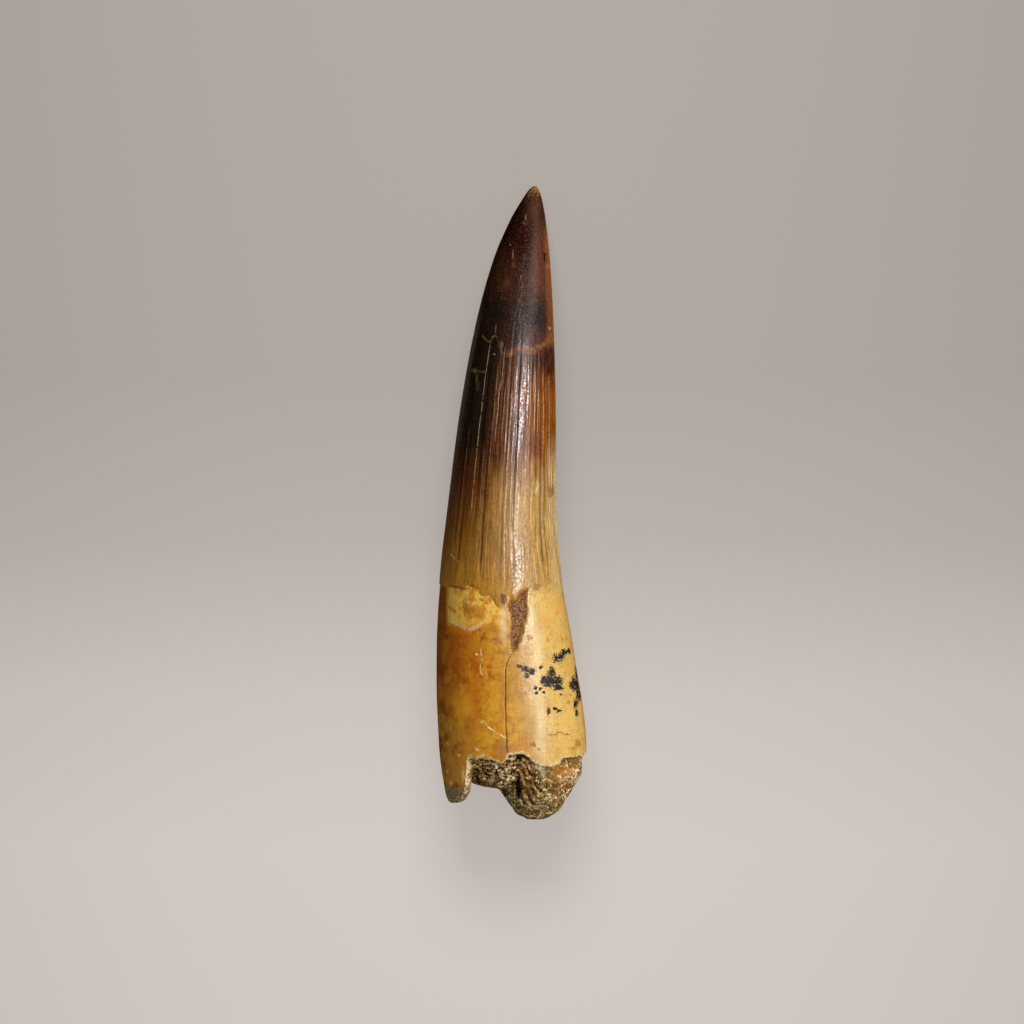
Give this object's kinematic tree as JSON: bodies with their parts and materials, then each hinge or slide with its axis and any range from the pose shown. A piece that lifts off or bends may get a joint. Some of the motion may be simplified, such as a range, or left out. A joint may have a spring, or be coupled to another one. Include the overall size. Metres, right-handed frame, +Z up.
{
  "type": "spinosaurus tooth",
  "caption": "Fossil spinosaur tooth lying on its side: tall fluted crown on a broken root, with sandstone filling the root's hollow.",
  "frame": {"origin": "middle of the base of the box round the tooth, on the surface it lies on", "axes": "+Y towards the tip of the crown, +Z up, out of the side the picture shows, +X to the picture's right"},
  "size_m": [0.0236, 0.1, 0.0178],
  "materials": {
    "fossil_enamel": "polished fossil enamel and dentine",
    "sandstone": "rough sandstone"
  },
  "bodies": {
    "root": {"tooth": "fossil_enamel", "matrix_plug": "sandstone"}
  },
  "joints": []
}
